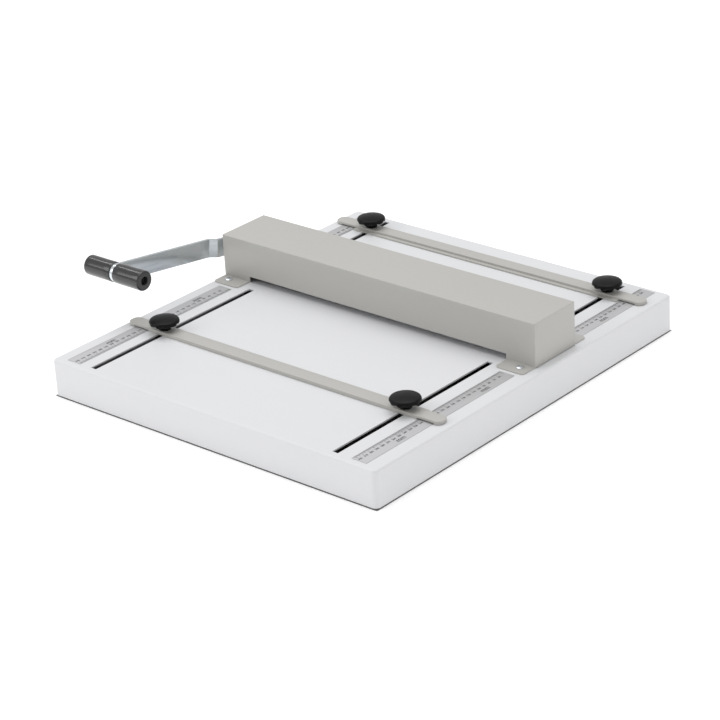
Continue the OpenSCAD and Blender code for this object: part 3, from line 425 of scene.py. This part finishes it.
def hood_mesh():
    """The hood as bent sheet. Its end walls stop a little above the table."""
    low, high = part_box("hood")
    y_front, y_back = low.y + FLANGE_DEPTH, high.y - FLANGE_DEPTH
    z0, z1 = low.z, high.z
    zf = z0 + HOOD_SHEET
    zg = z0 + FEED_GAP
    ze = z0 + END_LIFT
    spans = [(low.x + FLANGE_RELIEF, low.x + END_WIDTH - FLANGE_RELIEF),
             (high.x - END_WIDTH + FLANGE_RELIEF, high.x - FLANGE_RELIEF)]
    gap = (low.x + END_WIDTH, high.x - END_WIDTH)

    def make(work):
        made = {}

        def vert(x, y, z):
            key = (round(x, 6), round(y, 6), round(z, 6))
            if key not in made:
                made[key] = work.verts.new((x, y, z))
            return made[key]

        crease = work.edges.layers.float.new("bevel_weight_edge")
        for y, out in ((y_front, -1), (y_back, 1)):
            (a, b), (c, d) = spans
            wall = [(low.x, ze), (a, z0), (a, zf), (b, zf), (b, z0), (gap[0], z0), (gap[0], zg),
                    (gap[1], zg), (gap[1], z0), (c, z0), (c, zf), (d, zf), (d, z0), (high.x, ze),
                    (high.x, z1), (low.x, z1)]
            face = [vert(x, y, z) for x, z in wall]
            work.faces.new(face if out < 0 else face[::-1])
            for x0, x1 in spans:
                tip = y + out * FLANGE_DEPTH
                inner = tip - out * FLANGE_CORNER
                flap = ([(x0, y)]
                        + arc((x0 + FLANGE_CORNER, inner), FLANGE_CORNER, 180, 180 - out * 90, 8)
                        + arc((x1 - FLANGE_CORNER, inner), FLANGE_CORNER, out * 90, 0, 8)
                        + [(x1, y)])
                points = [vert(px, py, zf) for px, py in flap]
                work.faces.new(points if out < 0 else points[::-1])
        corners = [(low.x, y_front), (high.x, y_front), (high.x, y_back), (low.x, y_back)]
        work.faces.new([vert(x, y, z1) for x, y in corners])
        for x, turn in ((low.x, 1), (high.x, -1)):
            end = [(y_front, ze), (y_front, z1), (y_back, z1), (y_back, ze)]
            work.faces.new([vert(x, y, z) for y, z in end][::turn])
        for edge in work.edges:
            if len(edge.link_faces) == 2:
                flap_fold = all(abs(v.co.z - zf) < 10 * SAME_PLACE for v in edge.verts)
                edge[crease] = FLANGE_FOLD if flap_fold else 1.0

    return with_modifiers("hood_shell", mesh_of("hood_shell", make), [
        ("BEVEL", {"width": FOLD_RADIUS, "segments": 5, "limit_method": "WEIGHT"}),
        ("SOLIDIFY", {"thickness": HOOD_SHEET, "offset": -1, "use_even_offset": True}),
    ])


def cut_away(name, mesh, make):
    """The mesh less the solids that the function make draws through bmesh."""
    cutter = link_new(name + "_cutter", mesh_of(name + "_cutter", make))
    result = with_modifiers(name, mesh, [("BOOLEAN", {
        "operation": "DIFFERENCE", "solver": "EXACT", "object": cutter})])
    bpy.data.objects.remove(cutter)
    return result


def bored(name, mesh, bores):
    """The mesh with round holes: a list of (place matrix, diameter, length)."""
    def make(work):
        for place, diameter, length in bores:
            bmesh.ops.create_cone(work, cap_ends=True, segments=48, radius1=diameter / 2,
                                  radius2=diameter / 2, depth=length, matrix=place)
    return cut_away(name, mesh, make)


def make_hood():
    """The hood, with the hole for the crank's hub in its left end wall."""
    low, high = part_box("hood")
    axis = Vector(joints["crank_swing"]["pos_m"])
    hub = Matrix.Translation((low.x, axis.y, axis.z)) @ Matrix.Rotation(math.pi / 2, 4, "Y")
    mesh = bored("hood_shell", hood_mesh(), [(hub, HUB_HOLE, HUB_HOLE_DEPTH)])
    add_piece("hood_shell", mesh, "base", "grey_powder_coat", "hood", smooth_angle=30)


# ---------------------------------------------------------------- stop bars

PLATE_CORNER = 8 * MM
PLATE_EDGE = 0.7 * MM
PLATE_OVER_RULERS = 3 * MM
RULER_CLEAR = 1.5 * MM
STUD_HOLE = 6.6 * MM
STUD_HOLE_DEPTH = 12 * MM


def make_stop_plate(which):
    """The bar. Between its two feet, which stand beyond the rulers, it is cut away below."""
    node = which + "_stop_plate"
    low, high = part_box(node)
    left_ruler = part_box("ruler_" + which + "_left")
    right_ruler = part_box("ruler_" + which + "_right")
    studs = [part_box("stud_" + which + "_" + side) for side in ("left", "right")]

    def make(work):
        prism(work, round_corners(low, high, PLATE_CORNER), low.z, high.z)

    def relief(work):
        slab(work, (left_ruler[0].x - RULER_CLEAR, low.y - RULER_CLEAR, low.z - RULER_CLEAR),
             (right_ruler[1].x + RULER_CLEAR, high.y + RULER_CLEAR, high.z - PLATE_OVER_RULERS))

    mesh = cut_away(node, rounded(node, mesh_of(node, make), PLATE_EDGE), relief)
    bores = []
    for stud_low, stud_high in studs:
        middle = (stud_low + stud_high) / 2
        place = Matrix.Translation((middle.x, middle.y, high.z))
        bores.append((place, STUD_HOLE, STUD_HOLE_DEPTH))
    add_piece("plate_" + which, bored(node, mesh, bores), which + "_stop", "grey_powder_coat", node)


# ---------------------------------------------------------------- knobs

KNOB_LOBES = 10
LOBE_DEPTH = 0.13
LOBE_SHARPNESS = 1.6
STEPS_PER_LOBE = 12
SHOULDER_RADIUS = 3.5 * MM
SHOULDER_END = 75
# The knob's foot: (radius, height).
KNOB_FOOT = ((0, 0), (7.5 * MM, 0), (8.0 * MM, 0.5 * MM))
# The neck: (radius, share of the knob's height).
KNOB_NECK = ((8.3 * MM, 0.12), (9.0 * MM, 0.22))
# The skirt: (share of the knob's radius, share of its height).
KNOB_SKIRT = ((0.54, 0.30), (0.70, 0.37), (0.86, 0.44), (0.945, 0.475), (0.975, 0.50),
              (0.99, 0.54), (1, 0.58))
KNOB_RIM = 0.66
# The lobes run out upwards over this share of the height, just below the rim, and towards the
# neck between these shares of the radius.
LOBE_FADE = 0.16
LOBES_FROM, LOBES_FULL = 0.45, 0.85
CROWN_STEPS = (0.88, 0.74, 0.6, 0.45, 0.3, 0.15, 0)


def make_knob(corner):
    """Domed clamp knob with a scalloped skirt and a tapered neck."""
    node = "knob_" + corner
    low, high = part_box(node)
    centre = (low + high) / 2
    r = (high.x - low.x) / 2
    h = high.z - low.z
    rim = KNOB_RIM * h
    profile = list(KNOB_FOOT) + [(radius, up * h) for radius, up in KNOB_NECK]
    profile += [(out * r, up * h) for out, up in KNOB_SKIRT]
    profile += arc((r - SHOULDER_RADIUS, rim), SHOULDER_RADIUS, 0, SHOULDER_END, 6)
    crown_radius, crown_base = profile[-1]
    crown_rise = h - crown_base
    profile += [(crown_radius * k, crown_base + crown_rise * (1 - k * k)) for k in CROWN_STEPS]

    def scallop(radius, height, angle):
        below_rim = min(1.0, max(0.0, (rim - height) / (LOBE_FADE * h)))
        outwards = min(1.0, max(0.0, (radius / r - LOBES_FROM) / (LOBES_FULL - LOBES_FROM)))
        wave = 0.5 - 0.5 * math.cos(KNOB_LOBES * angle)
        return radius * (1 - LOBE_DEPTH * below_rim * outwards * wave ** LOBE_SHARPNESS)

    def make(work):
        place = Matrix.Translation((centre.x, centre.y, low.z))
        lathe(work, profile, KNOB_LOBES * STEPS_PER_LOBE, place, scallop)

    add_piece("clamp_knob_" + corner, mesh_of(node, make), "clamp_" + corner, "knob_plastic", node,
              smooth_angle=50)


# ---------------------------------------------------------------- crank

ARM_THICKNESS = 4.5 * MM
ARM_WIDTH = 25 * MM
ARM_STEP = 8 * MM
STEP_ANGLE = math.radians(40)
BEND_RADIUS = 6 * MM
BEND_FROM = 36 * MM
HUB_DIAMETER = 30 * MM
ARM_EDGE = 0.7 * MM
ARM_TIP = 0.2 * MM
BEND_STEPS = 8
ROUND_STEP = 6
# Rows of the mesh, as shares of the hub's radius and of the arm's length.
HUB_ROWS = (-0.4, -0.2, 0, 0.2, 0.4, 0.55, 0.7, 1.0, 1.5, 2.0)
ARM_ROWS = (0.3, 0.45, 0.6, 0.75, 0.9)


def arm_middle(length):
    """The arm's middle line seen from above: (distance along, outward offset, slope)."""
    rise = BEND_RADIUS * (1 - math.cos(STEP_ANGLE))
    slope_length = (ARM_STEP - 2 * rise) / math.sin(STEP_ANGLE)
    bend = BEND_RADIUS * math.sin(STEP_ANGLE)
    line = []
    for i in range(BEND_STEPS + 1):
        a = STEP_ANGLE * i / BEND_STEPS
        line.append((BEND_FROM + BEND_RADIUS * math.sin(a), BEND_RADIUS * (1 - math.cos(a)), a))
    x = line[-1][0] + slope_length * math.cos(STEP_ANGLE)
    y = line[-1][1] + slope_length * math.sin(STEP_ANGLE)
    for i in range(BEND_STEPS + 1):
        a = STEP_ANGLE * (1 - i / BEND_STEPS)
        line.append((x + bend - BEND_RADIUS * math.sin(a),
                     y + BEND_RADIUS * (math.cos(a) - math.cos(STEP_ANGLE)), a))
    hub = HUB_DIAMETER / 2
    eye = ARM_WIDTH / 2
    hub_end = [(-hub * math.cos(math.radians(t)), 0, 0) for t in range(0, 60, ROUND_STEP)]
    hub_end += [(hub * share, 0, 0) for share in HUB_ROWS]
    grip_end = [(length * share, ARM_STEP, 0) for share in ARM_ROWS]
    grip_end += [(length + eye * math.sin(math.radians(t)), ARM_STEP, 0)
                 for t in range(0, 91, ROUND_STEP)]
    return hub_end + line + grip_end


def arm_half_width(distance, length):
    """Half the arm's width: round at both ends, straight between."""
    half = ARM_WIDTH / 2
    hub = HUB_DIAMETER / 2
    if distance > length:
        half = math.sqrt(max(0.0, half ** 2 - (distance - length) ** 2))
    if abs(distance) < hub:
        round_part = math.sqrt(max(0.0, hub ** 2 - distance ** 2))
        half = max(half, round_part) if distance > 0 else round_part
    return max(half, ARM_TIP)


def crank_place():
    """Turns arm coordinates (distance along, outward, sideways) into the frame."""
    axis = Vector(joints["crank_swing"]["pos_m"])
    grip = Vector(joints["inner_grip_spin"]["pos_m"])
    along = Vector((0, grip.y - axis.y, grip.z - axis.z))
    length = along.length
    along.normalize()
    out = Vector((-1, 0, 0))
    side = along.cross(out)
    inner_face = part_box("crank_arm")[1].x
    middle = Vector((inner_face - ARM_THICKNESS / 2, axis.y, axis.z))
    turn = Matrix((along, out, side)).transposed().to_4x4()
    return Matrix.Translation(middle) @ turn, length


def make_arm():
    """The flat bar of the crank, bent outwards in a step near its hub."""
    place, length = crank_place()

    def make(work):
        rows = []
        for distance, offset, slope in arm_middle(length):
            half = arm_half_width(distance, length)
            row = []
            for face in (1, -1):
                shift = face * ARM_THICKNESS / 2
                x = distance - shift * math.sin(slope)
                y = offset + shift * math.cos(slope)
                row += [(x, y, -half * face), (x, y, half * face)]
            rows.append([work.verts.new(place @ Vector(p)) for p in row])
        for a, b in zip(rows, rows[1:]):
            for i in range(4):
                j = (i + 1) % 4
                work.faces.new((a[i], a[j], b[j], b[i]))
        work.faces.new(rows[0])
        work.faces.new(rows[-1][::-1])

    mesh = rounded("crank_bar", mesh_of("crank_bar", make), ARM_EDGE, angle=50)
    add_piece("crank_bar", mesh, "crank", "zinc_plated_steel", "crank_arm", smooth_angle=35)


GRIP_RECESS = 11.4 * MM
GRIP_RECESS_DEPTH = 12 * MM
GRIP_BORE = 6.1 * MM
GRIP_EDGE = 2.2 * MM
GRIP_LIP = 0.5 * MM
# The grip's edge at the arm: (inset from the grip's radius, distance from its end).
ARM_END = ((1.6 * MM, 0), (0.7 * MM, 0.25 * MM), (0.2 * MM, 0.8 * MM), (0, 1.6 * MM))
GRIP_ROWS = (0.25, 0.5, 0.75)
GRIP_STEPS = 72


def make_grip(which):
    """One turned grip half: soft outer edge, a small step at the arm, a recess for the bolt."""
    node = "grip_" + which
    low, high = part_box(node)
    centre = (low + high) / 2
    r = (high.z - low.z) / 2
    length = high.x - low.x
    turn = math.pi / 2 if which == "inner" else -math.pi / 2
    start = low.x if which == "inner" else high.x
    place = Matrix.Translation((start, centre.y, centre.z)) @ Matrix.Rotation(turn, 4, "Y")
    bore, recess = GRIP_BORE / 2, GRIP_RECESS / 2
    floor = length - GRIP_RECESS_DEPTH
    profile = [(bore, 0)] + [(r - inset, up) for inset, up in ARM_END]
    profile += [(r, length * share) for share in GRIP_ROWS]
    profile += arc((r - GRIP_EDGE, length - GRIP_EDGE), GRIP_EDGE, 0, 90, 6)
    profile += [(recess + GRIP_LIP, length), (recess, length - GRIP_LIP), (recess, floor),
                (bore, floor), (bore, 0)]

    def make(work):
        lathe(work, profile, GRIP_STEPS, place)
        bmesh.ops.remove_doubles(work, verts=work.verts, dist=SAME_PLACE)

    add_piece("grip_half_" + which, mesh_of(node, make), which + "_grip", "grip_plastic", node,
              smooth_angle=40)


# ---------------------------------------------------------------- rulers

RULER_CORNER = 1 * MM
RULER_EDGE = 0.06 * MM
INK_HEIGHT = 0.04 * MM
PRINT_BOLD = 0.12 * MM
# Every tenth, fifth and other tick.
TICK_WIDTHS = {10: 0.36 * MM, 5: 0.32 * MM, 1: 0.24 * MM}
TICK_LENGTHS = {10: 6.5 * MM, 5: 4.6 * MM, 1: 3.0 * MM}
TICK_INSET = 0.4 * MM
TICK_END_MARGIN = 2 * MM
NUMBER_SIZE = 4.2 * MM
NUMBER_GAP = 2.8 * MM
NUMBER_END_MARGIN = 4 * MM
UNIT_SIZE = 10 * MM
UNIT_INSET = 16 * MM
UNIT_PLACES = {"front": (0.25, 0.82), "rear": (0.35,)}


def add_text(work, text, size, place):
    """Raised print, its baseline along the matrix's X axis and centred on its origin."""
    curve = bpy.data.curves.new("print", "FONT")
    curve.body = text
    curve.size = size
    curve.extrude = INK_HEIGHT / 2
    curve.offset = PRINT_BOLD
    curve.resolution_u = 3
    curve.align_x = "CENTER"
    curve.align_y = "CENTER"
    thing = link_new("print", curve)
    ready = thing.evaluated_get(bpy.context.evaluated_depsgraph_get())
    mesh = bpy.data.meshes.new_from_object(ready)
    mesh.transform(place)
    work.from_mesh(mesh)
    bpy.data.objects.remove(thing)
    bpy.data.meshes.remove(mesh)


def make_ruler(end, side):
    """A strip with ticks every millimetre from the crease line, along its inner edge."""
    name = "ruler_" + end + "_" + side
    low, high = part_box(name)
    blade_low, blade_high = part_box("crease_blade")
    crease_y = (blade_low.y + blade_high.y) / 2
    away = -1 if end == "front" else 1
    near, far = sorted((abs(low.y - crease_y), abs(high.y - crease_y)))
    inward = 1 if side == "left" else -1
    inner_x = high.x if side == "left" else low.x

    def strip(work):
        prism(work, round_corners(low, high, RULER_CORNER, 4), low.z, high.z)

    def write(work, text, size, x, y):
        place = Matrix.Translation((x, y, high.z + INK_HEIGHT / 2))
        add_text(work, text, size, place @ Matrix.Rotation(math.pi / 2, 4, "Z"))

    def marks(work):
        first = math.ceil((near + TICK_END_MARGIN) / MM)
        last = int((far - TICK_END_MARGIN) / MM)
        for step in range(first, last + 1):
            kind = 10 if step % 10 == 0 else 5 if step % 5 == 0 else 1
            y = crease_y + away * step * MM
            x0 = inner_x - inward * TICK_INSET
            x1 = x0 - inward * TICK_LENGTHS[kind]
            half = TICK_WIDTHS[kind] / 2
            slab(work, (min(x0, x1), y - half, high.z),
                 (max(x0, x1), y + half, high.z + INK_HEIGHT))
            if kind == 10 and near + NUMBER_END_MARGIN < step * MM < far - NUMBER_END_MARGIN:
                write(work, str(step), NUMBER_SIZE, x1 - inward * NUMBER_GAP, y)
        for share in UNIT_PLACES[end]:
            unit_y = low.y + share * (high.y - low.y)
            write(work, "mm", UNIT_SIZE, inner_x - inward * UNIT_INSET, unit_y)

    strip_mesh = rounded(name, mesh_of(name, strip), RULER_EDGE, 2)
    add_piece(name + "_strip", strip_mesh, "base", "ruler_aluminium", name)
    marks_mesh = mesh_of(name + "_marks", marks)
    add_piece(name + "_marks", marks_mesh, "base", "ruler_aluminium", material=ink)


# ---------------------------------------------------------------- springs


def make_springs():
    """The return springs, which stretch between the table and the press."""
    piece = link_new("return_spring_coils", frame["nodes"]["return_springs"].data.copy())
    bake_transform(piece)
    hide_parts("return_springs")


# ---------------------------------------------------------------- studio

FLOOR_REACH = 12
FLOOR_GLOW = 0.22
FLOOR_TONE = 0.95
# Painted shade: the dark grey tone of the floor field under the table, in place of the pale floor.
UNDER_TABLE_SHADE_TONE = 0.3
WORLD_STRENGTH = 0.62
TABLE_MIDDLE = (0, 0, 0.05)
GRIP_PLACE = (-0.3, -0.1, 0.1)
# Softboxes: name, place, size, power in watts, and the point they face.
SOFTBOXES = (
    ("top", (-0.2, 0.3, 2.4), (2.6, 2.2), 31, TABLE_MIDDLE),
    ("front_left", (-1.5, -2.2, 1.5), (1.6, 1.4), 15, TABLE_MIDDLE),
    ("right", (2.6, 0.3, 1.5), (1.4, 1.4), 4, TABLE_MIDDLE),
    ("grip_strip", (-2.1, 0.33, 2.4), (0.24, 1.0), 4, GRIP_PLACE),
)


def make_floor():
    """The sweep, in nine fields. The middle one lies under the table. It is painted dark grey as
    painted shade and doesn't glow, so that the slots look into the dark."""
    low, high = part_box("base_table")
    xs = (-FLOOR_REACH, low.x, high.x, FLOOR_REACH)
    ys = (-FLOOR_REACH, low.y, high.y, FLOOR_REACH)

    def make(work):
        points = [[work.verts.new((x, y, 0)) for y in ys] for x in xs]
        for i in range(3):
            for j in range(3):
                face = work.faces.new((points[i][j], points[i + 1][j],
                                       points[i + 1][j + 1], points[i][j + 1]))
                face.material_index = 1 if i == 1 and j == 1 else 0

    mesh = mesh_of("floor", make)
    mesh.materials.append(floor_paint("floor_paint", (FLOOR_TONE,) * 3, FLOOR_GLOW))
    # The field under the table gets painted shade: dark grey, with no glow.
    mesh.materials.append(floor_paint("floor_painted_shade_under", (UNDER_TABLE_SHADE_TONE,) * 3, 0))
    floor = link_new("floor", mesh)


def add_softbox(name, place, size, power, target):
    """A rectangular lamp that faces the target."""
    light = bpy.data.lights.new(name, "AREA")
    light.shape = "RECTANGLE"
    light.size, light.size_y = size
    light.energy = power
    lamp = link_new(name, light)
    lamp.location = place
    lamp.rotation_euler = (Vector(target) - Vector(place)).to_track_quat("-Z", "Y").to_euler()


def make_studio():
    """White surroundings and the softboxes."""
    scene = bpy.context.scene
    world = bpy.data.worlds.new("studio")
    world.use_nodes = True
    background = world.node_tree.nodes["Background"]
    background.inputs["Color"].default_value = (1, 1, 1, 1)
    background.inputs["Strength"].default_value = WORLD_STRENGTH
    scene.world = world
    scene.view_settings.view_transform = "Standard"
    for softbox in SOFTBOXES:
        add_softbox(*softbox)


# ---------------------------------------------------------------- the scene

make_camera()
make_studio()
make_floor()
dress_cad_nodes()
make_hood()
for end in ("front", "rear"):
    make_stop_plate(end)
    for side in ("left", "right"):
        make_knob(end + "_" + side)
        make_ruler(end, side)
make_arm()
make_grip("inner")
make_grip("outer")
make_springs()
